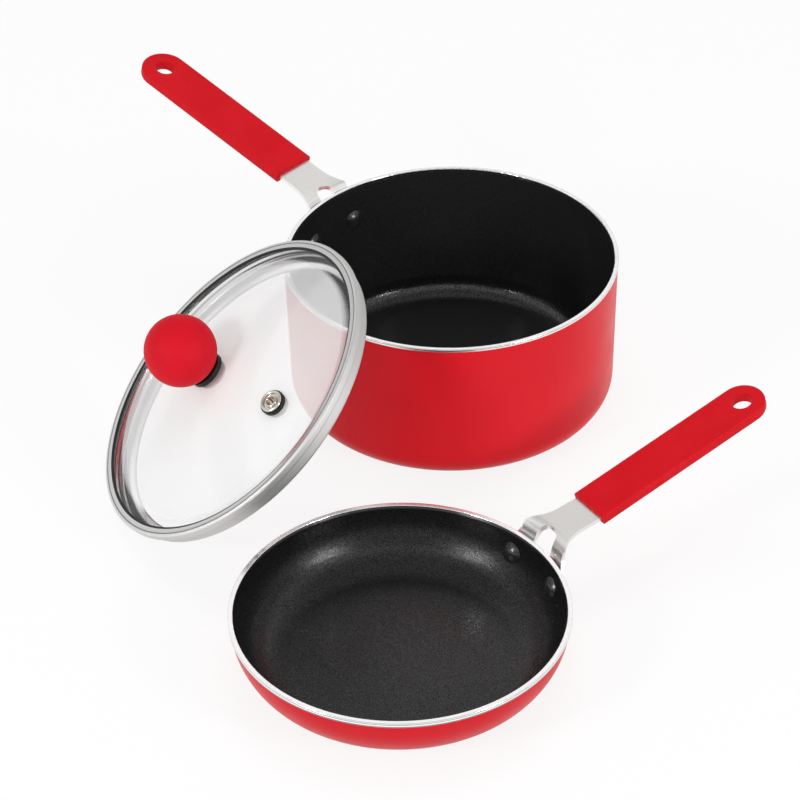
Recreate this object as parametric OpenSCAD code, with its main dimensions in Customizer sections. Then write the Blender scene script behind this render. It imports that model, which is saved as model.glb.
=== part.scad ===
// Mini egg cookware: a small saucepan, its glass lid leaning on it, and a
// frying pan for one egg standing in front. Millimetres, +Z up. The origin is
// on the saucepan's axis at the level of the table, and -Y is the front.

/* [Saucepan] */
// Outer radius of the wall at the top, over the red coating
pot_r = 75.75; // [74:0.25:77]
// Height of the rim above the table
pot_h = 72.8; // [68:0.1:78]
// Draft of the wall, in degrees
pot_draft = 1; // [0.5:0.1:2]
// Outer radius of the corner between wall and base
pot_corner = 11.9; // [9:0.1:13]
// Thickness of the wall with both coatings
pot_wall = 1.75; // [1.5:0.05:2.2]
// Height of the cooking surface above the table
pot_floor = 3.5; // [2.5:0.1:4.5]

/* [Frying pan] */
// Outer radius of the wall under the rim
fry_r = 70.2; // [66:0.1:71]
// Height of the rim above the table
fry_h = 26.7; // [25.5:0.1:27.5]
// Radius of the flat base
fry_base_r = 49; // [46:0.5:50]
// Radius of the upper curve of the wall
fry_curve = 28; // [27:0.5:31]
// Thickness of wall and floor with both coatings
fry_wall = 1.45; // [1.3:0.05:1.8]
// Place of the frying pan's axis, to the right
fry_x = -26.1; // [-30:0.1:40]
// Place of the frying pan's axis, to the back
fry_y = -194.2; // [-230:0.1:-190]

/* [Saucepan handle] */
// Bearing of the saucepan's handle, in degrees
pot_handle_bearing = 137.5; // [90:0.5:140]
// Length of the grip
pot_grip_len = 98; // [80:1:115]
// Width of the grip
pot_grip_w = 22.4; // [21.5:0.1:25]
// Rise of the grip, in degrees
pot_grip_rise = 14.3; // [8:0.1:18]

/* [Frying pan handle] */
// Bearing of the frying pan's handle, in degrees
fry_handle_bearing = 33; // [20:0.5:50]
// Length of the grip
fry_grip_len = 94; // [80:1:110]
// Width of the grip
fry_grip_w = 20.6; // [20:0.1:23]
// Rise of the grip, in degrees
fry_grip_rise = 14.1; // [8:0.1:18]

/* [Lid] */
// Outer radius of the lid
lid_r = 75.2; // [75:0.1:76.5]
// Outer radius of the skirt that drops into the saucepan
skirt_r = 73.1; // [72.5:0.1:73.3]
// Depth of the skirt below the seat
skirt_drop = 8.2; // [7:0.1:9]
// Radius of the glass dome
dome_r = 188; // [175:1:205]
// Thickness of the glass
glass_t = 2.6; // [2.4:0.1:3]
// Radius of the knob
knob_r = 15.9; // [15:0.1:18]
// Distance of the steam vent from the lid's axis
vent_at = 49; // [40:0.5:52]

/* [Lid leaning on the saucepan] */
// Lean of the lid, in degrees
lid_lean = 41.4; // [39:0.1:44]
// Direction that the lid's top faces, in degrees
lid_turn = 193.9; // [188:0.1:200]
// Bearing of the lid's centre from the saucepan, in degrees
lid_bearing = 217.1; // [214:0.1:220]
// Gap left between the lid and the rim that it leans on
rest_gap = 0.35; // [0.3:0.05:0.6]

/* [Hidden] */
$fn = 96;
ball_fn = 256;
far = 200;
inside = 0.998;

// coatings and bare metal
coat = 0.3;
foot = 0.5;
skin_z = foot - coat;
bead_round = 0.35;
pot_bead_h = 1.4;
pot_bead_over = 0.2;
fry_bead_h = 1.9;
fry_bead_over = 0.7;
groove_r = 0.6;
groove_d = 0.3;
groove_pitch = 8;

// steel straps: bends, and the flared root with its two legs and the slot between
strap_t = 1.8;
strap_margin = 1.8;
strap_end = 1;
mouth_bend = 6;
knee_bend = 6;
leg_foot_r = 5.5;
strap_sweep = 30;
strap_lap = 3;
seam = 0.04;

// how far the grips start outside the rims, and above them
pot_mouth_out = 22.45;
pot_mouth_up = 6.05;
fry_mouth_out = 26.2;
fry_mouth_up = 8.88;

// roots: leg's place and radius at the rim, length of the flare, slot's half width and reach,
// and where the flare starts from the bend
pot_root = [8.6, 4.1, 12, 4.7, 4.2, 0];
fry_root = [9.7, 4.2, 11.8, 5.6, 2.7, -1.5];
pot_rim_bend = 3;
fry_rim_bend = 6;
pot_leg_lean = 4;
fry_deck_rise = 8.5;
pot_knee_drop = 12.8;
pot_rivet_drop = 18.3;
pot_rivet_turn = 10.5;
fry_rivet_tilt = 18.3;
fry_rivet_turn = 12;

// grips
grip_t = 5;
grip_edge = 1.2;
hang_r = 4.7;
strap_hole_r = 5.9;
pocket_gap = 0.05;

// rivets
rivet_r = 2.2;
rivet_hole_r = 2.3;
head_r = 5;
head_h = 2.1;
tail_r = 4.6;
tail_h = 1.1;
tail_edge = 0.4;

enamel_red = "crimson";
silicone_red = "firebrick";

function unit(v) = v / norm(v);
function left(v) = [-v.y, v.x];
function cross2(a, b) = a.x * b.y - a.y * b.x;
// where the line through p along u meets the line through q along v
function meet(p, u, q, v) = p + u * cross2(q - p, v) / cross2(u, v);
function bend_half(a, b, c) = acos(unit(a - b) * unit(c - b)) / 2;
function bend_trim(a, b, c, r) = r / tan(bend_half(a, b, c));
function bend_centre(a, b, c, r) =
    b + unit(unit(a - b) + unit(c - b)) * r / sin(bend_half(a, b, c));

// straight stretch of sheet of thickness t, pointed where it runs into a bend
module bar(p, q, t, point_p, point_q) {
    along = unit(q - p) * t / 2;
    side = left(along);
    polygon([
        p + side, p - along * point_p, p - side,
        q - side, q + along * point_q, q + side
    ]);
}

// round bend of sheet at b, on the way from a to c
module bend(a, b, c, r, t) {
    o = bend_centre(a, b, c, r);
    trim = bend_trim(a, b, c, r);
    reach = (r + t) / r;
    p = b + unit(a - b) * trim;
    q = b + unit(c - b) * trim;
    intersection() {
        translate(o)
            difference() {
                circle(r + t * inside / 2);
                circle(r - t * inside / 2);
            }
        polygon([o, o + (p - o) * reach, o + (b - o) * reach, o + (q - o) * reach]);
    }
}

// sheet bent along a path, with one bend radius for each inner point
module bent_strip(path, radii, t) {
    last = len(path) - 1;
    trims = [
        for (i = [0 : last])
            i == 0 || i == last ? 0
                : bend_trim(path[i - 1], path[i], path[i + 1], radii[i - 1])
    ];
    for (i = [0 : last - 1]) {
        step = unit(path[i + 1] - path[i]);
        bar(path[i] + step * trims[i], path[i + 1] - step * trims[i + 1], t,
            i == 0 ? 0 : 1, i == last - 1 ? 0 : 1);
    }
    for (i = [1 : last - 1])
        bend(path[i - 1], path[i], path[i + 1], radii[i - 1], t);
}

// two circles joined by straight sides, just inside their outer tangents
module slug(p, rp, q, rq) {
    along = unit(q - p);
    s = (rp - rq) / norm(q - p);
    c = sqrt(1 - s * s);
    n1 = (along * s + left(along) * c) * inside;
    n2 = (along * s - left(along) * c) * inside;
    translate(p) circle(rp);
    translate(q) circle(rq);
    polygon([p + n1 * rp, p + n2 * rp, q + n2 * rq, q + n1 * rq]);
}

// rectangle about the origin with round corners
module round_rect(w, h, r) {
    square([w - 2 * r, h], center = true);
    square([w, h - 2 * r], center = true);
    for (x = [-1, 1], y = [-1, 1])
        translate([x * (w / 2 - r), y * (h / 2 - r)]) circle(r);
}

// flat shape of half width w from the origin to a round end about x = length
module round_end(from, length, w) {
    translate([from, -w]) square([length - from, 2 * w]);
    translate([length, 0]) circle(w);
}

// ring of bare metal at a rim, rounded on its upper edges
module rim_bead(r_in, r_out, z0, z1) {
    w = r_out - r_in;
    translate([r_in, z0]) square([w, z1 - z0 - bead_round]);
    translate([r_in + bead_round, z0]) square([w - 2 * bead_round, z1 - z0]);
    for (x = [r_in + bead_round, r_out - bead_round])
        translate([x, z1 - bead_round]) circle(bead_round);
}

// turned grooves under a bare base
module base_grooves(r_base) {
    for (r = [groove_pitch : groove_pitch : r_base - groove_pitch / 2])
        translate([r, groove_d - groove_r]) circle(groove_r);
}

// ---- saucepan: half sections between the axis and a wall

function pot_x(z, inset) =
    pot_r - (pot_h - z) * tan(pot_draft) - inset / cos(pot_draft);

// everything within a wall set in by inset, over a floor with a round corner
module pot_fill(inset, floor_z, corner, top) {
    cz = floor_z + corner;
    cx = pot_x(cz, inset) - corner / cos(pot_draft);
    touch = [cx + corner * cos(pot_draft), cz - corner * sin(pot_draft)];
    polygon([
        [0, floor_z], [cx, floor_z], [cx, cz], touch,
        [pot_x(top, inset), top], [0, top]
    ]);
    translate([cx, cz]) circle(corner);
}

pot_skin_top = pot_h - pot_bead_h;
pot_base_r = pot_x(pot_corner, 0) - pot_corner;

// layer of the wall between two insets
module pot_layer(outer, inner, outer_floor, inner_floor) {
    difference() {
        pot_fill(outer, outer_floor, pot_corner - outer, pot_skin_top);
        pot_fill(inner, inner_floor, pot_corner - inner, pot_h);
    }
}

// ---- frying pan: two arcs about fixed centres, so its layers are parallel

fry_skin_top = fry_h - fry_bead_h;
fry_arc_h = fry_skin_top - skin_z;
fry_top_c = [fry_r - fry_curve, fry_skin_top];
fry_offset = fry_base_r - fry_top_c.x;
fry_low_r = (pow(fry_curve, 2) - pow(fry_arc_h, 2) - pow(fry_offset, 2))
    / (2 * (fry_curve - fry_arc_h));
fry_low_c = [fry_base_r, skin_z + fry_low_r];
fry_join = unit(fry_low_c - fry_top_c);

// everything within a wall set in by inset, up to the rim
module fry_fill(inset) {
    polygon([
        [0, skin_z + inset], [fry_base_r, skin_z + inset],
        fry_low_c, fry_top_c, [0, fry_top_c.y]
    ]);
    intersection() {
        translate(fry_low_c) circle(fry_low_r - inset);
        polygon([
            fry_low_c, fry_low_c - [0, far],
            fry_low_c + [far, -far], fry_low_c + fry_join * far
        ]);
    }
    intersection() {
        translate(fry_top_c) circle(fry_curve - inset);
        polygon([fry_top_c, fry_top_c + fry_join * far, fry_top_c + [far, 0]]);
    }
    translate([0, fry_top_c.y]) square([fry_r - inset, fry_bead_h]);
}

// layer of the wall between two insets, up to the bare rim
module fry_layer(outer, inner) {
    difference() {
        fry_fill(outer);
        fry_fill(inner);
        translate([0, fry_skin_top]) square([far, 2 * fry_bead_h]);
    }
}

// ---- handles: side view as distance s from the pan's axis and height z

// middle of the sheet: legs up the wall, deck out over the rim, shank in the grip
function heading(angle) = [cos(angle), sin(angle)];

pot_rivet_z = pot_h - pot_rivet_drop;
pot_rivet_at = [pot_x(pot_rivet_z, 0), pot_rivet_z];
pot_leg_in = strap_t / 2 / cos(pot_draft);
pot_foot_z = pot_rivet_z - leg_foot_r - strap_end;
pot_knee_z = pot_h - pot_knee_drop;
pot_knee = [pot_x(pot_knee_z, 0) + pot_leg_in, pot_knee_z];
pot_mouth = [pot_r + pot_mouth_out, pot_h + pot_mouth_up];
pot_strap_w = pot_grip_w / 2 - strap_margin;
pot_hang_at = pot_grip_len - pot_grip_w / 2;
pot_path = [
    [pot_x(pot_foot_z, 0) + pot_leg_in, pot_foot_z],
    pot_knee,
    meet(pot_knee, heading(90 - pot_leg_lean), pot_mouth, heading(pot_grip_rise)),
    pot_mouth + heading(pot_grip_rise) * (pot_hang_at + pot_strap_w + strap_end)
];
pot_bends = [knee_bend, pot_rim_bend];

fry_rivet_at = fry_top_c + heading(-fry_rivet_tilt) * fry_curve;
fry_leg_mid = fry_top_c + heading(-fry_rivet_tilt) * (fry_curve + strap_t / 2);
fry_leg_up = heading(90 - fry_rivet_tilt);
fry_mouth = [fry_r + fry_mouth_out, fry_h + fry_mouth_up];
fry_strap_w = fry_grip_w / 2 - strap_margin;
fry_hang_at = fry_grip_len - fry_grip_w / 2;
fry_path = [
    fry_leg_mid - fry_leg_up * (leg_foot_r + strap_end),
    meet(fry_leg_mid, fry_leg_up, fry_mouth, heading(fry_deck_rise)),
    fry_mouth,
    fry_mouth + heading(fry_grip_rise) * (fry_hang_at + fry_strap_w + strap_end)
];
fry_bends = [fry_rim_bend, mouth_bend];

// place of a rivet: +Z points outwards, square to the wall
module at_rivets(turn, at, tilt) {
    for (side = [-1, 1])
        rotate([0, 0, side * turn])
            translate([at.x, 0, at.y])
                rotate([0, 90 + tilt, 0])
                    children();
}

module at_pot_rivets() {
    rotate([0, 0, pot_handle_bearing])
        at_rivets(pot_rivet_turn, pot_rivet_at, pot_draft)
            children();
}

module at_fry_rivets() {
    rotate([0, 0, fry_handle_bearing])
        at_rivets(fry_rivet_turn, fry_rivet_at, fry_rivet_tilt)
            children();
}

module rivet_hole() {
    cylinder(h = 4 * head_r, r = rivet_hole_r, center = true);
}

// flat disc with a rounded upper edge
module button(r, h, edge) {
    rotate_extrude()
        intersection() {
            round_rect(2 * r, 2 * h, edge);
            square([r, h]);
        }
}

// bent sheet: revolved where it follows the pan, straight beyond split
module strap_sheet(path, bends, split, width) {
    rotate([0, 0, -strap_sweep])
        rotate_extrude(angle = 2 * strap_sweep)
            translate([0, -seam])
                intersection() {
                    bent_strip(path, bends, strap_t);
                    square([split, far]);
                }
    rotate([90, 0, 0])
        linear_extrude(width, center = true)
            difference() {
                bent_strip(path, bends, strap_t);
                square([split - strap_lap, far]);
            }
}

// half widths of a strap's root and of its slot
function root_w(root) = root[0] + root[1];
function slot_w(root) = root[3];

// front view of the legs up to top, plan of the deck from flare_x to the waist and the mouth
module strap_root(rivet_at, flare_x, top, mouth, half_w, root) {
    step = root_w(root) - half_w;
    run = root[2];
    waist = flare_x + run;
    flare_r = (pow(run, 2) + pow(step, 2)) / (2 * step);
    rotate([90, 0, 90])
        linear_extrude(top.x)
            intersection() {
                for (side = [-1, 1])
                    slug([side * rivet_at.x, rivet_at.y], leg_foot_r,
                        [side * root[0], top.y], root[1]);
                translate([-far, 0]) square([2 * far, top.y]);
            }
    translate([0, 0, top.y])
        linear_extrude(mouth.y - top.y + strap_t) {
            translate([0, -root_w(root)]) square([flare_x, 2 * root_w(root)]);
            difference() {
                translate([flare_x - strap_end, -root_w(root)])
                    square([run + strap_end, 2 * root_w(root)]);
                for (side = [-1, 1])
                    translate([waist, side * (half_w + flare_r + seam)]) circle(flare_r);
            }
            translate([waist - seam, seam - half_w])
                square([mouth.x + strap_t - waist, 2 * (half_w - seam)]);
        }
}

// forked flat handle: corner is the place in path of the bend over the rim
module strap(path, bends, corner, mouth, rivet_at, rise, half_w, hang_at, root) {
    at = path[corner];
    trim = bend_trim(path[corner - 1], at, path[corner + 1], bends[corner - 1]);
    top = [at.x + trim + strap_end, at.y - trim - strap_end];
    difference() {
        intersection() {
            strap_sheet(path, bends, top.x + strap_lap, 3 * root_w(root));
            union() {
                strap_root(rivet_at, at.x + root[5], top, mouth, half_w, root);
                translate([mouth.x, 0, mouth.y])
                    rotate([0, -rise, 0])
                        linear_extrude(3 * strap_t, center = true)
                            round_end(-strap_end, hang_at, half_w);
            }
        }
        translate([0, 0, top.y - strap_t])
            linear_extrude(far)
                round_end(0, at.x + root[4] - slot_w(root), slot_w(root));
        translate([mouth.x, 0, mouth.y])
            rotate([0, -rise, 0])
                translate([hang_at, 0, 0])
                    cylinder(h = 3 * strap_t, r = strap_hole_r, center = true);
    }
}

// silicone sleeve over the shank, about the hanging hole: round tip to +X, mouth to -X
module grip(w, length, half_w) {
    mouth = w / 2 - length;
    difference() {
        union() {
            rotate([90, 0, 90])
                translate([0, 0, mouth])
                    linear_extrude(-mouth) round_rect(w, grip_t, grip_edge);
            rotate([0, 0, -90])
                rotate_extrude(angle = 180)
                    intersection() {
                        round_rect(w, grip_t, grip_edge);
                        translate([0, -grip_t]) square([w, 2 * grip_t]);
                    }
        }
        linear_extrude(strap_t + 2 * pocket_gap, center = true)
            difference() {
                round_end(mouth - 1, 0, half_w + pocket_gap);
                circle(strap_hole_r - pocket_gap);
            }
        cylinder(h = 2 * grip_t, r = hang_r, center = true);
    }
}

// solid of revolution that reaches out to the outer face of the legs
module leg_face(path) {
    out = left(unit(path[1] - path[0])) * strap_t / 2;
    low = path[0] - out;
    high = path[1] - out;
    rotate_extrude()
        translate([0, -seam])
            polygon([[0, low.y], low, high, [0, high.y]]);
}

// two rivets: shank, domed head inside the pan, flat head outside on the leg
module rivet_pair(turn, at, tilt, path, wall) {
    ball_r = (pow(head_r, 2) + pow(head_h, 2)) / (2 * head_h);
    at_rivets(turn, at, tilt)
        translate([0, 0, -wall - head_h / 2])
            cylinder(h = wall + head_h / 2 + strap_t + tail_h / 2, r = rivet_r);
    intersection() {
        at_rivets(turn, at, tilt)
            translate([0, 0, -wall - head_h + ball_r])
                sphere(ball_r);
        children();
    }
    difference() {
        at_rivets(turn, at, tilt)
            translate([0, 0, strap_t - tail_edge])
                button(tail_r, tail_h + tail_edge, tail_edge);
        leg_face(path);
    }
}

module saucepan_body() {
    color("silver")
        difference() {
            rotate_extrude()
                difference() {
                    union() {
                        pot_layer(coat, pot_wall - coat, foot, pot_floor - coat);
                        square([pot_base_r, foot + coat]);
                        rim_bead(pot_r - pot_wall, pot_r + pot_bead_over, pot_skin_top, pot_h);
                    }
                    base_grooves(pot_base_r);
                }
            at_pot_rivets() rivet_hole();
        }
}

module saucepan_enamel() {
    color(enamel_red)
        difference() {
            rotate_extrude()
                difference() {
                    pot_layer(0, coat, skin_z, foot);
                    square([pot_base_r, foot]);
                }
            at_pot_rivets() rivet_hole();
        }
}

module saucepan_nonstick() {
    color("black")
        difference() {
            rotate_extrude()
                pot_layer(pot_wall - coat, pot_wall, pot_floor - coat, pot_floor);
            at_pot_rivets() rivet_hole();
        }
}

module saucepan_handle() {
    color("lightgray")
        difference() {
            rotate([0, 0, pot_handle_bearing])
                strap(pot_path, pot_bends, 2, pot_mouth,
                    [pot_rivet_at.x * sin(pot_rivet_turn), pot_rivet_z],
                    pot_grip_rise, pot_strap_w, pot_hang_at, pot_root);
            at_pot_rivets() rivet_hole();
        }
}

module saucepan_grip() {
    color(silicone_red)
        rotate([0, 0, pot_handle_bearing])
            translate([pot_mouth.x, 0, pot_mouth.y])
                rotate([0, -pot_grip_rise, 0])
                    translate([pot_hang_at, 0, 0])
                        grip(pot_grip_w, pot_grip_len, pot_strap_w);
}

module saucepan_rivets() {
    color("dimgray")
        rotate([0, 0, pot_handle_bearing])
            rivet_pair(pot_rivet_turn, pot_rivet_at, pot_draft, pot_path, pot_wall)
                rotate_extrude($fn = ball_fn)
                    pot_fill(pot_wall, pot_floor, pot_corner - pot_wall, pot_h);
}

module fry_pan_body() {
    color("silver")
        translate([fry_x, fry_y, 0])
            difference() {
                rotate_extrude()
                    difference() {
                        union() {
                            fry_layer(coat, fry_wall - coat);
                            square([fry_base_r, foot + coat]);
                            rim_bead(fry_r - fry_wall, fry_r + fry_bead_over,
                                fry_skin_top, fry_h);
                        }
                        base_grooves(fry_base_r);
                    }
                at_fry_rivets() rivet_hole();
            }
}

module fry_pan_enamel() {
    color(enamel_red)
        translate([fry_x, fry_y, 0])
            difference() {
                rotate_extrude()
                    difference() {
                        fry_layer(0, coat);
                        square([fry_base_r, foot]);
                    }
                at_fry_rivets() rivet_hole();
            }
}

module fry_pan_nonstick() {
    color("black")
        translate([fry_x, fry_y, 0])
            difference() {
                rotate_extrude()
                    fry_layer(fry_wall - coat, fry_wall);
                at_fry_rivets() rivet_hole();
            }
}

module fry_pan_handle() {
    color("lightgray")
        translate([fry_x, fry_y, 0])
            difference() {
                rotate([0, 0, fry_handle_bearing])
                    strap(fry_path, fry_bends, 1, fry_mouth,
                        [fry_rivet_at.x * sin(fry_rivet_turn), fry_rivet_at.y],
                        fry_grip_rise, fry_strap_w, fry_hang_at, fry_root);
                at_fry_rivets() rivet_hole();
            }
}

module fry_pan_grip() {
    color(silicone_red)
        translate([fry_x, fry_y, 0])
            rotate([0, 0, fry_handle_bearing])
                translate([fry_mouth.x, 0, fry_mouth.y])
                    rotate([0, -fry_grip_rise, 0])
                        translate([fry_hang_at, 0, 0])
                            grip(fry_grip_w, fry_grip_len, fry_strap_w);
}

module fry_pan_rivets() {
    color("dimgray")
        translate([fry_x, fry_y, 0])
            rotate([0, 0, fry_handle_bearing])
                rivet_pair(fry_rivet_turn, fry_rivet_at, fry_rivet_tilt, fry_path, fry_wall)
                    rotate_extrude($fn = ball_fn)
                        fry_fill(fry_wall);
}

// ---- lid, about its own axis: height 0 is the plane that rests on the saucepan's rim

// steel band: lip over the glass, flange on the rim, skirt and folded hem
band_t = 0.6;
band_top = band_t + glass_t + band_t;
lip_w = 3.9;
hem_w = 4.1;
hem_rise = 1.9;
hem_tail = [1.8, 0.9];
hem_z = band_t / 2 - skirt_drop + hem_tail.y;
band_path = [
    [lid_r - lip_w, band_top - band_t / 2],
    [lid_r - band_t / 2, band_top - band_t / 2],
    [lid_r - band_t / 2, band_t / 2],
    [skirt_r - band_t / 2, band_t / 2],
    [skirt_r - band_t / 2, hem_z + hem_rise],
    [skirt_r - band_t / 2 - hem_w, hem_z],
    [skirt_r - band_t / 2 - hem_w - hem_tail.x, hem_z - hem_tail.y]
];
band_bends = [0.7, 0.7, 0.7, 1.2, 1.5];

// glass: parallel dome over a flat edge held between lip and flange
crown_r = lid_r - lip_w - 1.1;
dome_z = band_t + glass_t - sqrt(pow(dome_r, 2) - pow(crown_r, 2));
apex_z = dome_z + dome_r;
glass_rim_r = lid_r - band_t - 0.2;
glass_hole_r = 3;

// knob
knob_up = 16.8;
knob_z = apex_z + knob_up;
knob_flat_z = apex_z + 2.6;
collar_r = 8.4;
collar_h = 2;
neck_r = 6.2;
boss_r = 9;
boss_z = knob_z - 4;
boss_h = 7;
insert_r = 3.2;
insert_z = apex_z + 2;
insert_len = 12;
screw_r = 1.9;
screw_gap = 0.1;
bite = 1;
seal_r = 7;
seal_t = 1.2;
washer_r = 6.5;
washer_t = 0.8;
screw_head_r = 4;
screw_head_h = 2.4;
screw_edge = 1;
cross_w = 1;
cross_l = 4.4;
cross_d = 1.4;
under_glass = apex_z - glass_t;

// steam vent, measured from the glass outwards along the vent's own axis
vent_turn = 115.5;
vent_hole_r = 3.4;
vent_tube_r = 3.3;
vent_bore_r = 1.9;
gasket_r = 5.6;
gasket_t = 1.6;
web_t = 0.5;
ring_x = 4.3;
ring_r = 0.7;
lip_h = 1;
lip_r = 0.55;
vent_washer_r = 5.2;
vent_washer_t = 0.8;
vent_washer_z = -glass_t - vent_washer_t - (1 - cos(asin(vent_washer_r / dome_r))) * dome_r;
curl_r = 4.3;
curl_h = 0.9;

// where the lid stands: it touches the table with the skirt's bend and leans on the rim
lid_up = [
    sin(lid_lean) * cos(lid_turn), sin(lid_lean) * sin(lid_turn), cos(lid_lean)
];
skirt_bend = 4;
skirt_c = bend_centre(
    band_path[skirt_bend - 1], band_path[skirt_bend], band_path[skirt_bend + 1],
    band_bends[skirt_bend - 1]
);
lid_z = skirt_c.x * sin(lid_lean) - skirt_c.y * cos(lid_lean)
    + band_bends[skirt_bend - 1] + band_t / 2;

function seg_dist(p, a, b) =
    let (
        ab = b - a,
        u = max(0, min(1, (p - a) * ab / (ab * ab)))
    )
    norm(p - a - ab * u);

// distance of a point of the lid's section from the glass and the band
function section_dist(p) =
    min([
        p.x > crown_r ? far
            : abs(norm([p.x, p.y - dome_z]) - dome_r + glass_t / 2) - glass_t / 2,
        for (i = [0 : len(band_path) - 2])
            seg_dist(p, band_path[i], band_path[i + 1]) - band_t / 2
    ]);

function to_section(p) =
    let (along = p * lid_up)
    [sqrt(max(0, p * p - along * along)), along];

// rings round the rim and down the wall that the lid keeps clear of: radius, height, size
pot_rings = [
    [pot_r - pot_wall + bead_round, pot_h - bead_round, bead_round],
    [pot_r + pot_bead_over - bead_round, pot_h - bead_round, bead_round],
    for (down = [2, 6, 12, 20]) [pot_r + pot_bead_over, pot_h - down, 0]
];
rim_window = 60;
start_off = 0.8 * lid_r;
approach = 2;
coarse = 2;
fine = 0.4;

function lid_centre(d) = [d * cos(lid_bearing), d * sin(lid_bearing), lid_z];

function lid_gap(d, step) =
    min([
        for (ring = pot_rings, a = [lid_bearing - rim_window : step : lid_bearing + rim_window])
            section_dist(to_section(
                [ring[0] * cos(a), ring[0] * sin(a), ring[1]] - lid_centre(d)
            )) - ring[2]
    ]);

// the lid comes in from clear of the pan in whole steps, then by halving, until it rests
function come_in(d) = lid_gap(d, coarse) > rest_gap ? come_in(d - approach) : d;

function settle(low, high, steps) =
    steps == 0 ? high
    : let (mid = (low + high) / 2)
        lid_gap(mid, fine) > rest_gap ? settle(low, mid, steps - 1) : settle(mid, high, steps - 1);

lid_near = come_in(pot_r + start_off);
lid_dist = settle(lid_near, lid_near + 2 * approach, 12);

module at_lid() {
    translate(lid_centre(lid_dist))
        rotate([0, lid_lean, lid_turn])
            children();
}

module at_vent() {
    at_lid()
        rotate([0, 0, vent_turn])
            translate([0, 0, dome_z])
                rotate([0, asin(vent_at / dome_r), 0])
                    translate([0, 0, dome_r])
                        children();
}

module tube(r_out, r_in, z0, z1) {
    translate([0, 0, z0])
        difference() {
            cylinder(h = z1 - z0, r = r_out);
            translate([0, 0, -bite]) cylinder(h = z1 - z0 + 2 * bite, r = r_in);
        }
}

module lid_glass() {
    color("lightcyan", 0.4)
        difference() {
            at_lid()
                rotate_extrude() {
                    intersection() {
                        translate([0, dome_z])
                            difference() {
                                circle(dome_r);
                                circle(dome_r - glass_t);
                            }
                        translate([glass_hole_r, band_t])
                            square([crown_r - glass_hole_r, apex_z]);
                    }
                    translate([crown_r - bite, band_t])
                        square([glass_rim_r - crown_r + bite, glass_t]);
                }
            at_vent() cylinder(h = 8 * glass_t, r = vent_hole_r, center = true);
        }
}

module lid_band() {
    color("silver")
        at_lid()
            rotate_extrude()
                bent_strip(band_path, band_bends, band_t);
}

module vent_eyelet() {
    color("silver")
        at_vent()
            rotate_extrude()
                difference() {
                    union() {
                        translate([0, vent_washer_z - curl_h / 2])
                            square([vent_tube_r, gasket_t - vent_washer_z + curl_h]);
                        translate([0, gasket_t]) square([ring_x, web_t]);
                        translate([ring_x, gasket_t + ring_r]) circle(ring_r);
                        translate([0, gasket_t]) square([vent_bore_r + 2 * lip_r, lip_h]);
                        translate([vent_bore_r + lip_r, gasket_t + lip_h]) circle(lip_r);
                        translate([0, vent_washer_z - curl_h]) square([curl_r - curl_h / 2, curl_h]);
                        translate([curl_r - curl_h / 2, vent_washer_z - curl_h / 2])
                            circle(curl_h / 2);
                    }
                    translate([0, -far]) square([vent_bore_r, 2 * far]);
                }
}

module vent_gasket() {
    color("black")
        at_vent()
            difference() {
                tube(gasket_r, vent_hole_r, -bite, gasket_t);
                translate([0, 0, -dome_r]) sphere(dome_r, $fn = ball_fn);
            }
}

module vent_washer() {
    color("silver")
        at_vent()
            tube(vent_washer_r, vent_hole_r, vent_washer_z, vent_washer_z + vent_washer_t);
}

// neck and boss that the silicone ball is moulded round
module knob_stalk() {
    translate([0, 0, apex_z + bite]) cylinder(h = boss_z - apex_z, r = neck_r);
    translate([0, 0, boss_z]) cylinder(h = boss_h, r = boss_r);
}

module knob_cover() {
    color(silicone_red)
        at_lid()
            difference() {
                translate([0, 0, knob_z]) sphere(knob_r);
                translate([0, 0, knob_flat_z - far])
                    cylinder(h = far, r = knob_r);
                knob_stalk();
            }
}

module knob_core() {
    color("black")
        at_lid()
            difference() {
                union() {
                    translate([0, 0, apex_z - bite]) cylinder(h = collar_h + bite, r = collar_r);
                    knob_stalk();
                }
                translate([0, 0, dome_z]) sphere(dome_r, $fn = ball_fn);
                translate([0, 0, insert_z]) cylinder(h = insert_len, r = insert_r);
                translate([0, 0, apex_z - bite]) cylinder(h = insert_len, r = screw_r + screw_gap);
            }
}

module knob_insert() {
    color("goldenrod")
        at_lid()
            tube(insert_r, screw_r + screw_gap, insert_z, insert_z + insert_len);
}

module knob_screw() {
    head_top = under_glass - seal_t - washer_t;
    color("silver")
        at_lid() {
            translate([0, 0, head_top - bite])
                cylinder(h = insert_z + insert_len - head_top, r = screw_r);
            translate([0, 0, head_top])
                difference() {
                    mirror([0, 0, 1]) button(screw_head_r, screw_head_h, screw_edge);
                    for (turn = [0, 90])
                        rotate([0, 0, turn])
                            translate([0, 0, -screw_head_h])
                                cube([cross_l, cross_w, 2 * cross_d], center = true);
                }
        }
}

module knob_washer() {
    top = under_glass - seal_t;
    color("silver")
        at_lid()
            tube(washer_r, screw_r + screw_gap, top - washer_t, top);
}

module knob_seal() {
    color("black")
        at_lid()
            intersection() {
                tube(seal_r, screw_r + screw_gap, under_glass - seal_t, apex_z);
                translate([0, 0, dome_z]) sphere(dome_r - glass_t, $fn = ball_fn);
            }
}

saucepan_body();
saucepan_enamel();
saucepan_nonstick();
saucepan_handle();
saucepan_grip();
saucepan_rivets();
fry_pan_body();
fry_pan_enamel();
fry_pan_nonstick();
fry_pan_handle();
fry_pan_grip();
fry_pan_rivets();
lid_glass();
lid_band();
vent_eyelet();
vent_gasket();
vent_washer();
knob_cover();
knob_core();
knob_insert();
knob_screw();
knob_washer();
knob_seal();
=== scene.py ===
import math

import bpy
from mathutils import Matrix, Vector


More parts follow.
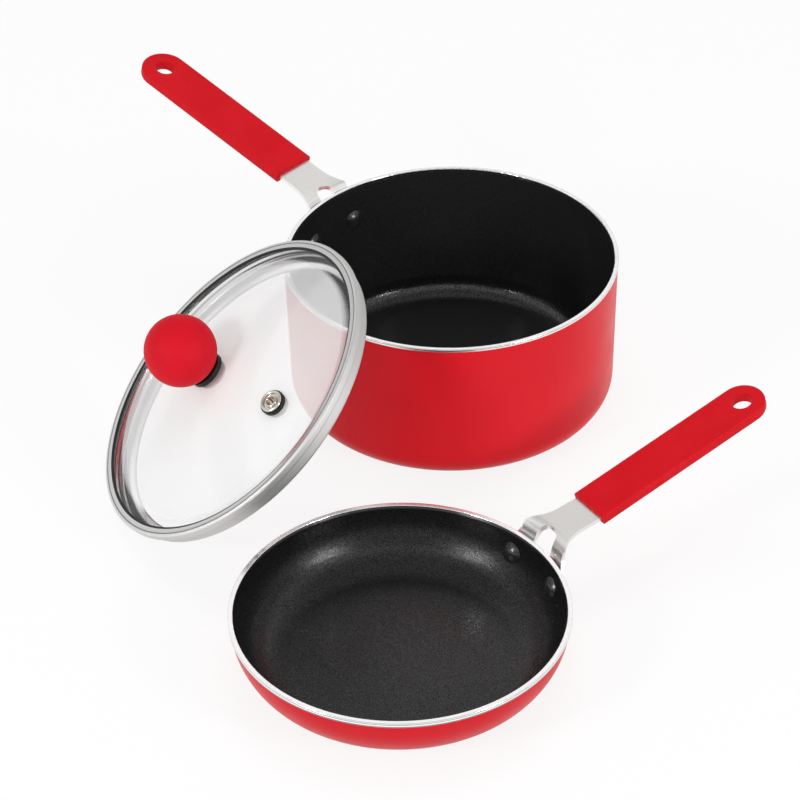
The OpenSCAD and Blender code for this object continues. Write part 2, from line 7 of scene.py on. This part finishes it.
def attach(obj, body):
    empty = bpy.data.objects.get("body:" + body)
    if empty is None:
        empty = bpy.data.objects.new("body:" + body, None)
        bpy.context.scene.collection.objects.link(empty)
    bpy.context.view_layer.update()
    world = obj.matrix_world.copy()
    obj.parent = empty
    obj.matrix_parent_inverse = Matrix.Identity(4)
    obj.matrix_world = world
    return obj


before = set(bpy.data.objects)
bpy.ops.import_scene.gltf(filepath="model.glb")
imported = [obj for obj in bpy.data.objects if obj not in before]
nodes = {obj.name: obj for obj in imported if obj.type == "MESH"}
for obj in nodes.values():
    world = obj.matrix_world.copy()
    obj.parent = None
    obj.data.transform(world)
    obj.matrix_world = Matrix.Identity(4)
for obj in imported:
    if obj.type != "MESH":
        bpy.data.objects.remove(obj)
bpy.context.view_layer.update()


# ---- where things are, as in the part's source (metres, radians)

SAUCEPAN = Vector((0, 0, 0))
SAUCEPAN_RIM = 0.0728
SAUCEPAN_HANDLE = math.radians(137.5)

FRY_PAN = Vector((-0.0261, -0.1942, 0))
FRY_PAN_RIM = 0.0267
FRY_PAN_HANDLE = math.radians(33)

# The lid's own frame starts on its axis, level with the underside of the band's flange.
LID = Vector((-0.0971549, -0.0734777, 0.0521005))
LID_LEAN = math.radians(41.4)
LID_TURN = math.radians(193.9)


# ---- camera, fitted to the rims and outlines of both pans in the photograph

PITCH = math.radians(35.872)
ROLL = math.radians(-1.138)
FOCAL_PX = 3044.083
IMAGE_PX = 800
SENSOR_MM = 36
EYE = Vector((-0.024434, -1.156577, 0.828089))

forward = Vector((0, math.cos(PITCH), -math.sin(PITCH)))
level = Vector((1, 0, 0))
upward = Vector((0, math.sin(PITCH), math.cos(PITCH)))
right = level * math.cos(ROLL) + upward * math.sin(ROLL)
top = upward * math.cos(ROLL) - level * math.sin(ROLL)

camera = bpy.data.objects.new("camera", bpy.data.cameras.new("camera"))
bpy.context.scene.collection.objects.link(camera)
camera.matrix_world = Matrix((
    (right.x, top.x, -forward.x, EYE.x),
    (right.y, top.y, -forward.y, EYE.y),
    (right.z, top.z, -forward.z, EYE.z),
    (0, 0, 0, 1),
))
camera.data.sensor_width = SENSOR_MM
camera.data.lens = FOCAL_PX / IMAGE_PX * SENSOR_MM
camera.data.clip_start = 0.05
bpy.context.scene.camera = camera


# ---- materials

def grey(value, tint=(1, 1, 1)):
    """Grey of one value, with each channel multiplied by the tint."""
    return tuple(value * channel for channel in tint)


def greys(*stops, tint=(1, 1, 1)):
    """Ramp stops (position, value) as greys."""
    return [(position, grey(value, tint)) for position, value in stops]


def scaled(colour, factor):
    return tuple(channel * factor for channel in colour)


class Mat:
    """A Principled material with object coordinates for its procedural detail."""

    def __init__(self, name, **sockets):
        self.m = bpy.data.materials.new(name)
        self.m.use_nodes = True
        self.t = self.m.node_tree
        self.b = self.t.nodes["Principled BSDF"]
        self.out = self.t.nodes["Material Output"]
        for socket, value in sockets.items():
            self.b.inputs[socket.replace("_", " ")].default_value = value
        self.coord = self.t.nodes.new("ShaderNodeTexCoord").outputs["Object"]

    def node(self, kind, **props):
        n = self.t.nodes.new("ShaderNode" + kind)
        for prop, value in props.items():
            setattr(n, prop, value)
        return n

    def link(self, a, b):
        self.t.links.new(a, b)

    def set(self, socket, value):
        self.link(value, self.b.inputs[socket])

    def mapped(self, location=(0, 0, 0), rotation=(0, 0, 0), scale=(1, 1, 1)):
        """Object coordinates scaled, turned, then moved."""
        n = self.node("Mapping")
        n.inputs["Location"].default_value = location
        n.inputs["Rotation"].default_value = rotation
        n.inputs["Scale"].default_value = scale
        self.link(self.coord, n.inputs["Vector"])
        return n.outputs["Vector"]

    def in_lid(self):
        """Coordinates in the lid's own frame."""
        n = self.node("Mapping", vector_type="TEXTURE")
        n.inputs["Location"].default_value = LID
        n.inputs["Rotation"].default_value = (0, LID_LEAN, LID_TURN)
        self.link(self.coord, n.inputs["Vector"])
        return n.outputs["Vector"]

    def height(self, vector):
        xyz = self.node("SeparateXYZ")
        self.link(vector, xyz.inputs[0])
        return xyz.outputs["Z"]

    def radius(self, vector, centre=(0, 0)):
        """Distance from the Z axis through centre."""
        xyz = self.node("SeparateXYZ")
        self.link(vector, xyz.inputs[0])
        squares = []
        for axis, offset in zip("XY", centre):
            apart = self.node("Math", operation="SUBTRACT")
            apart.inputs[1].default_value = offset
            self.link(xyz.outputs[axis], apart.inputs[0])
            square = self.node("Math", operation="MULTIPLY")
            self.link(apart.outputs[0], square.inputs[0])
            self.link(apart.outputs[0], square.inputs[1])
            squares.append(square.outputs[0])
        total = self.node("Math", operation="ADD")
        self.link(squares[0], total.inputs[0])
        self.link(squares[1], total.inputs[1])
        root = self.node("Math", operation="SQRT")
        self.link(total.outputs[0], root.inputs[0])
        return root.outputs[0]

    def noise(self, scale, detail=2, rough=0.5, vector=None):
        n = self.node("TexNoise")
        n.inputs["Scale"].default_value = scale
        n.inputs["Detail"].default_value = detail
        n.inputs["Roughness"].default_value = rough
        self.link(vector or self.coord, n.inputs["Vector"])
        return n.outputs["Fac"]

    def ramp(self, fac, *stops):
        n = self.node("ValToRGB")
        elements = n.color_ramp.elements
        while len(elements) < len(stops):
            elements.new(0.5)
        for element, (position, colour) in zip(elements, stops):
            element.position = position
            element.color = (*colour, 1)
        self.link(fac, n.inputs["Fac"])
        return n.outputs["Color"]

    def span(self, fac, a, b, lo=0.0, hi=1.0):
        """Carries lo..hi over to a..b, and stays at a or b outside it."""
        n = self.node("MapRange")
        for socket, value in zip(("From Min", "From Max", "To Min", "To Max"), (lo, hi, a, b)):
            n.inputs[socket].default_value = value
        self.link(fac, n.inputs["Value"])
        return n.outputs["Result"]

    def blend(self, fac, a, b, kind="MIX"):
        """Colour a, with b mixed in by fac, which is a number or a socket."""
        n = self.node("Mix", data_type="RGBA", blend_type=kind)
        if isinstance(fac, (int, float)):
            n.inputs[0].default_value = fac
        else:
            self.link(fac, n.inputs[0])
        self.link(a, n.inputs[6])
        self.link(b, n.inputs[7])
        return n.outputs[2]

    def bump(self, height, strength, distance):
        n = self.node("Bump")
        n.inputs["Strength"].default_value = strength
        n.inputs["Distance"].default_value = distance
        self.link(height, n.inputs["Height"])
        return n.outputs["Normal"]


def wear(object_name, mat):
    o = nodes[object_name]
    for slot in o.material_slots:
        slot.material = mat.m
    if not o.material_slots:
        o.data.materials.append(mat.m)


def enamel(name, deep, light):
    """Red baked coating of the pans' outside."""
    m = Mat(name, Roughness=0.42, Specular_IOR_Level=0.12)
    m.set("Base Color", m.ramp(m.noise(14, 3), (0.35, deep), (0.65, light)))
    m.set("Roughness", m.span(m.noise(60, 4), 0.3, 0.4, 0.3, 0.7))
    m.set("Normal", m.bump(m.noise(900, 3, 0.6), 0.06, 0.0002))
    return m


def lining(name, base, gloss, rough, fine, speck, grit):
    """Black non-stick coating. Its fine grain varies the colour, the gloss and the surface; its lightest
    colour specks are painted glints.
    """
    m = Mat(name)
    grain = m.noise(fine, 1, 0.6)
    m.set("Base Color", m.ramp(
        grain,
        (0.3, grey(base, (0.8, 0.8, 0.84))),
        (0.6, grey(base, (1, 1, 1.04))),
        # The lightest specks are painted glints.
        (0.75, grey(base, (1.4, 1.4, 1.5))),
    ))
    m.set("Specular IOR Level", m.span(grain, gloss * (1 - speck), gloss * (1 + speck), 0.35, 0.65))
    m.set("Roughness", m.span(m.noise(700, 3), rough - 0.04, rough + 0.04, 0.3, 0.7))
    m.set("Normal", m.bump(grain, grit, 0.0005))
    return m


# Two dark lines of painted shade round a pan's rim, between stops at 1 that keep the metal's own tone,
# from RIM_DEPTH below its top (0) up to the top (1).
RIM_DEPTH = 0.002
RIM_PAINTED_SHADE_LINES = (
    (0.05, 1), (0.1, 0.2), (0.24, 0.2), (0.3, 1),
    (0.62, 1), (0.67, 0.25), (0.76, 0.25), (0.81, 1),
)


def turned(name, centre, rim_z):
    """Bare aluminium with fine turning rings, and two dark lines of painted shade round the rim."""
    m = Mat(name, Metallic=1.0)
    place = m.mapped(location=tuple(-centre))
    rings = m.node("TexWave", wave_type="RINGS", rings_direction="Z")
    rings.inputs["Scale"].default_value = 900
    rings.inputs["Distortion"].default_value = 0.4
    m.link(place, rings.inputs["Vector"])
    up_the_rim = m.span(m.height(place), 0, 1, rim_z - RIM_DEPTH, rim_z)
    metal = m.ramp(m.noise(220, 3), *greys((0.3, 0.93), (0.7, 0.98)))
    # The rim's two dark lines are painted shade.
    m.set("Base Color", m.blend(1, metal, m.ramp(up_the_rim, *greys(*RIM_PAINTED_SHADE_LINES)), "MULTIPLY"))
    m.set("Roughness", m.span(rings.outputs["Fac"], 0.15, 0.26))
    m.set("Normal", m.bump(rings.outputs["Fac"], 0.05, 0.00005))
    return m


def brushed(name, bearing, base, rough):
    """Rolled steel strip, brushed along the bearing of its handle."""
    m = Mat(name, Metallic=1.0)
    lines = m.noise(1, 2, 0.5, m.mapped(rotation=(0, 0, -bearing), scale=(60, 5200, 5200)))
    m.set("Base Color", m.ramp(lines, (0.3, scaled(base, 0.965)), (0.7, base)))
    m.set("Roughness", m.span(lines, rough - 0.02, rough + 0.03, 0.3, 0.7))
    m.set("Normal", m.bump(lines, 0.04, 0.00002))
    return m


def silicone(name, colour, darker):
    """Matt red silicone of the grips and the knob."""
    m = Mat(name, Specular_IOR_Level=0.1)
    m.set("Base Color", m.ramp(m.noise(45, 4), (0.35, darker), (0.65, colour)))
    m.set("Roughness", m.span(m.noise(300, 3), 0.52, 0.64, 0.3, 0.7))
    m.set("Normal", m.bump(m.noise(1800, 2), 0.12, 0.0001))
    return m


def ripple(m):
    """Faint waviness shared by the lid's metal pieces."""
    m.set("Normal", m.bump(m.noise(500, 2), 0.03, 0.0001))


def polished(name, base, rough):
    """Polished metal."""
    m = Mat(name, Metallic=1.0)
    m.set("Base Color", m.ramp(m.noise(90, 4), (0.3, scaled(base, 0.95)), (0.7, base)))
    m.set("Roughness", m.span(m.noise(260, 4), rough - 0.03, rough + 0.03, 0.3, 0.7))
    ripple(m)
    return m


# The band, in the lid's own frame. The inner side of its skirt (closer to the axis than SKIRT_R)
# is painted by height with rings of painted highlight and painted shade, and all that is further out
# by radius: the lip's own steel tone with a dark crease of painted shade and a bright bead of painted
# highlight.
SKIRT_LOW = -0.0085
SKIRT_HIGH = 0.0015
SKIRT_PAINTED_LIGHT_RINGS = (
    (0.0, 0.25), (0.1, 0.25), (0.13, 0.9), (0.2, 0.9),
    (0.24, 0.05), (0.32, 0.05), (0.36, 0.6), (0.55, 0.75),
    (0.58, 0.05), (0.65, 0.05), (0.69, 0.9), (0.8, 0.9),
    (0.84, 0.05), (0.91, 0.05), (0.94, 0.66), (1.0, 0.66),
)
SKIRT_R = 0.0727
LIP_FROM = 0.0728
LIP_TO = 0.0753
LIP_TONE_AND_PAINTED_LIGHT = (
    (0.0, 0.66), (0.16, 0.62), (0.2, 0.2), (0.32, 0.2),
    (0.38, 0.78), (0.7, 0.74), (0.97, 0.66),
)
LIP_TINT = (1, 0.993, 0.985)


def band(name):
    """The lid's steel band: satin lip with a dark crease of painted shade and a bright bead of painted
    highlight, and rings of painted highlight and painted shade round the skirt's inner side.
    """
    m = Mat(name, Metallic=1.0)
    place = m.in_lid()
    r = m.radius(place)
    # Rings of painted highlight and painted shade round the skirt's inner side.
    rings = m.ramp(m.span(m.height(place), 0, 1, SKIRT_LOW, SKIRT_HIGH), *greys(*SKIRT_PAINTED_LIGHT_RINGS))
    # The lip's own tone, with a dark crease of painted shade and a bright bead of painted highlight.
    lip = m.ramp(m.span(r, 0, 1, LIP_FROM, LIP_TO), *greys(*LIP_TONE_AND_PAINTED_LIGHT, tint=LIP_TINT))
    m.set("Base Color", m.blend(m.span(r, 0, 1, SKIRT_R, SKIRT_R + 0.0002), rings, lip))
    m.set("Roughness", m.span(r, 0.25, 0.58, SKIRT_R, SKIRT_R + 0.0003))
    ripple(m)
    return m


def dark(name, value, rough, grain=1500, gloss=0.3):
    """Black plastic, rubber or coated metal."""
    m = Mat(name, Specular_IOR_Level=gloss)
    m.set("Base Color", m.ramp(m.noise(grain, 3), *greys((0.3, value), (0.7, value * 1.6))))
    m.set("Roughness", m.span(m.noise(400, 3), rough - 0.06, rough + 0.06, 0.3, 0.7))
    m.set("Normal", m.bump(m.noise(grain, 2), 0.1, 0.0001))
    return m


# Painted reflection: the glass is whiter in a disc, set off the lid's axis, that stops short of the band.
PAINTED_REFLECTION_CENTRE = (-0.0016, 0.0047)
PAINTED_REFLECTION_FULL_R = 0.064
PAINTED_REFLECTION_GONE_R = 0.066
PAINTED_REFLECTION_SHARE = 0.46
EDGE_PAINTED_REFLECTION_SHARE = 0.04


def glass(name):
    """Glass as a clear film mixed with a glossy white veil of painted reflection."""
    m = Mat(name, Roughness=0.03, Specular_IOR_Level=0.9)
    m.set("Base Color", m.ramp(m.noise(8, 2), (0.3, (0.96, 0.965, 0.965)), (0.7, (0.98, 0.985, 0.985))))
    clear = m.node("BsdfTransparent")
    clear.inputs["Color"].default_value = (0.985, 0.988, 0.988, 1)
    mix = m.node("MixShader")
    # The white veil's share is painted reflection, largest in an off-centre disc.
    r = m.radius(m.in_lid(), PAINTED_REFLECTION_CENTRE)
    m.link(m.span(r, PAINTED_REFLECTION_SHARE, EDGE_PAINTED_REFLECTION_SHARE, PAINTED_REFLECTION_FULL_R, PAINTED_REFLECTION_GONE_R), mix.inputs["Fac"])
    m.link(clear.outputs[0], mix.inputs[1])
    m.link(m.b.outputs[0], mix.inputs[2])
    m.link(mix.outputs[0], m.out.inputs["Surface"])
    return m


NICKEL = (0.72, 0.69, 0.62)

wear("saucepan_enamel", enamel("saucepan_red", (0.67, 0.009, 0.018), (0.7, 0.012, 0.022)))
wear("fry_pan_enamel", enamel("fry_pan_red", (0.57, 0.008, 0.016), (0.6, 0.01, 0.019)))
wear("saucepan_nonstick", lining(
    "saucepan_lining", base=0.0165, gloss=0.58, rough=0.18, fine=1700, speck=0.6, grit=0.08))
wear("fry_pan_nonstick", lining(
    "fry_pan_lining", base=0.0078, gloss=0.4, rough=0.3, fine=2300, speck=0.8, grit=0.11))
wear("saucepan_body", turned("saucepan_turned", SAUCEPAN, SAUCEPAN_RIM))
wear("fry_pan_body", turned("fry_pan_turned", FRY_PAN, FRY_PAN_RIM))
wear("saucepan_handle", brushed("saucepan_steel", SAUCEPAN_HANDLE, (0.93, 0.92, 0.89), 0.34))
wear("fry_pan_handle", brushed("fry_pan_steel", FRY_PAN_HANDLE, (0.83, 0.825, 0.805), 0.32))
grip = silicone("grip_silicone", (0.63, 0.008, 0.016), (0.59, 0.006, 0.012))
for pan in ("saucepan", "fry_pan"):
    wear(pan + "_grip", grip)
wear("knob_cover", silicone("knob_silicone", (0.66, 0.008, 0.02), (0.61, 0.006, 0.017)))
for pan in ("saucepan", "fry_pan"):
    wear(pan + "_rivets", dark("black_rivet_" + pan[:3], 0.012, 0.24, gloss=0.7))
wear("lid_band", band("band_steel"))
wear("vent_eyelet", polished("eyelet_nickel", NICKEL, 0.2))
wear("vent_washer", polished("washer_nickel", NICKEL, 0.25))
wear("vent_gasket", dark("gasket_rubber", 0.01, 0.5))
wear("knob_core", dark("core_plastic", 0.01, 0.4))
wear("knob_seal", dark("seal_rubber", 0.012, 0.55))
wear("knob_insert", polished("insert_brass", (0.75, 0.56, 0.28), 0.3))
wear("knob_screw", polished("screw_steel", grey(0.72), 0.25))
wear("knob_washer", polished("knob_washer_steel", grey(0.74), 0.25))
wear("lid_glass", glass("clear_glass"))


# ---- painted shade: a black ring between the glass and the band, under the lip's inner edge, in the lid's own frame

LATHE_SIDES = 360
MM_PER_M = 1000
SHADE_RING_PROFILE_MM = (
    (70.1, 3.26), (70.3, 3.38), (70.7, 3.5), (71.1, 3.56),
    (71.28, 3.54), (71.28, 3.21), (70.3, 3.21),
)

lid_frame = Matrix.Translation(LID) @ Matrix.Rotation(LID_TURN, 4, "Z") @ Matrix.Rotation(LID_LEAN, 4, "Y")


def lathe(name, profile_mm, frame_of):
    """Closed ring swept from a profile of (radius, height) points."""
    verts = []
    faces = []
    n = len(profile_mm)
    for i in range(LATHE_SIDES):
        a = 2 * math.pi * i / LATHE_SIDES
        for r, z in profile_mm:
            x = r * math.cos(a) / MM_PER_M
            y = r * math.sin(a) / MM_PER_M
            verts.append(frame_of @ Vector((x, y, z / MM_PER_M)))
    for i in range(LATHE_SIDES):
        here = i * n
        there = (i + 1) % LATHE_SIDES * n
        for k in range(n):
            after = (k + 1) % n
            faces.append((here + k, there + k, there + after, here + after))
    ring = bpy.data.meshes.new(name)
    ring.from_pydata(verts, [], faces)
    ring.shade_smooth()
    o = bpy.data.objects.new(name, ring)
    bpy.context.scene.collection.objects.link(o)
    return o


# A dark piece standing in for the shade along the lip's inner edge.
shade_ring = lathe("lid_painted_shade_ring", SHADE_RING_PROFILE_MM, lid_frame)
shade_ring.data.materials.append(dark("painted_shade_ring_black", 0.008, 0.45).m)
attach(shade_ring, "lid")


# ---- floor and world

FLOOR_DROP = 0.0004
FLOOR_REACH = 4
FLOOR_WHITE = 0.95
FLOOR_GLOW = 0.85
WORLD_LIGHT = 0.45
WORLD_SEEN = 1.0

# How bright a mirror sees the world, by the upward part of the ray: 0 is level or downward,
# and 1 is straight up.
SKY = (
    (0.0, 0.95), (0.27, 1.0), (0.33, 0.12), (0.44, 0.12),
    (0.50, 1.0), (0.73, 1.0), (0.84, 0.4), (1.0, 0.5),
)


def seen_rays(tree, path):
    """1 for camera, mirror and glass rays, which see floor and world bright, and 0 for the rest."""
    total = path.outputs["Is Camera Ray"]
    for kind in ("Is Glossy Ray", "Is Transmission Ray"):
        larger = tree.nodes.new("ShaderNodeMath")
        larger.operation = "MAXIMUM"
        tree.links.new(total, larger.inputs[0])
        tree.links.new(path.outputs[kind], larger.inputs[1])
        total = larger.outputs[0]
    return total


def floor_material():
    """White floor that also glows for the rays that see it, so that it blends into the world."""
    m = bpy.data.materials.new("floor")
    m.use_nodes = True
    t = m.node_tree
    t.nodes.remove(t.nodes["Principled BSDF"])
    diffuse = t.nodes.new("ShaderNodeBsdfDiffuse")
    diffuse.inputs["Color"].default_value = (*grey(FLOOR_WHITE), 1)
    glow = t.nodes.new("ShaderNodeEmission")
    share = t.nodes.new("ShaderNodeMath")
    share.operation = "MULTIPLY"
    share.inputs[1].default_value = FLOOR_GLOW
    mix = t.nodes.new("ShaderNodeMixShader")
    t.links.new(seen_rays(t, t.nodes.new("ShaderNodeLightPath")), share.inputs[0])
    t.links.new(share.outputs[0], mix.inputs["Fac"])
    t.links.new(diffuse.outputs[0], mix.inputs[1])
    t.links.new(glow.outputs[0], mix.inputs[2])
    t.links.new(mix.outputs[0], t.nodes["Material Output"].inputs["Surface"])
    return m


def studio_world():
    """White world, dimmer as a light than where it is seen. Mirrors see it as SKY says."""
    world = bpy.data.worlds.new("studio")
    world.use_nodes = True
    t = world.node_tree
    back = t.nodes["Background"]
    path = t.nodes.new("ShaderNodeLightPath")
    strength = t.nodes.new("ShaderNodeMapRange")
    strength.inputs["To Min"].default_value = WORLD_LIGHT
    strength.inputs["To Max"].default_value = WORLD_SEEN
    t.links.new(seen_rays(t, path), strength.inputs["Value"])
    t.links.new(strength.outputs["Result"], back.inputs["Strength"])
    aim = t.nodes.new("ShaderNodeTexCoord")
    rise = t.nodes.new("ShaderNodeSeparateXYZ")
    sky = t.nodes.new("ShaderNodeValToRGB")
    sky.color_ramp.interpolation = "EASE"
    elements = sky.color_ramp.elements
    while len(elements) < len(SKY):
        elements.new(0.5)
    for element, (position, value) in zip(elements, SKY):
        element.position = position
        element.color = (*grey(value), 1)
    only_gloss = t.nodes.new("ShaderNodeMix")
    only_gloss.data_type = "RGBA"
    only_gloss.inputs[6].default_value = (1, 1, 1, 1)
    t.links.new(aim.outputs["Generated"], rise.inputs[0])
    t.links.new(rise.outputs["Z"], sky.inputs["Fac"])
    t.links.new(path.outputs["Is Glossy Ray"], only_gloss.inputs["Factor"])
    t.links.new(sky.outputs["Color"], only_gloss.inputs[7])
    t.links.new(only_gloss.outputs[2], back.inputs["Color"])
    return world


scene = bpy.context.scene
scene.view_settings.view_transform = "Standard"
scene.world = studio_world()

sheet = bpy.data.meshes.new("floor")
sheet.from_pydata(
    [(x * FLOOR_REACH, y * FLOOR_REACH, 0) for x, y in ((-1, -1), (1, -1), (1, 1), (-1, 1))],
    [],
    [(0, 1, 2, 3)],
)
sheet.materials.append(floor_material())
floor = bpy.data.objects.new("floor", sheet)
floor.location.z = -FLOOR_DROP
scene.collection.objects.link(floor)


# ---- lamps

def softbox(name, place, size, power, mirrored=True):
    """Area lamp aimed at the set. One that isn't mirrored shows in no reflection."""
    light = bpy.data.lights.new(name, "AREA")
    light.shape = "RECTANGLE"
    light.size, light.size_y = size
    light.energy = power
    o = bpy.data.objects.new(name, light)
    scene.collection.objects.link(o)
    o.location = place
    o.visible_glossy = mirrored
    o.rotation_mode = "QUATERNION"
    o.rotation_quaternion = (AIM - Vector(place)).to_track_quat("-Z", "Y")


AIM = Vector((-0.02, -0.1, 0.03))
softbox("front", (-0.1, -1.7, 0.9), (1.6, 0.8), 5, mirrored=False)
softbox("left", (-1.27, -1.03, 0.86), (0.35, 0.3), 10)
softbox("right", (1.22, -1.1, 0.72), (0.35, 0.3), 9)
softbox("top_light", (0.1, 0.5, 1.7), (1.2, 0.8), 8, mirrored=False)
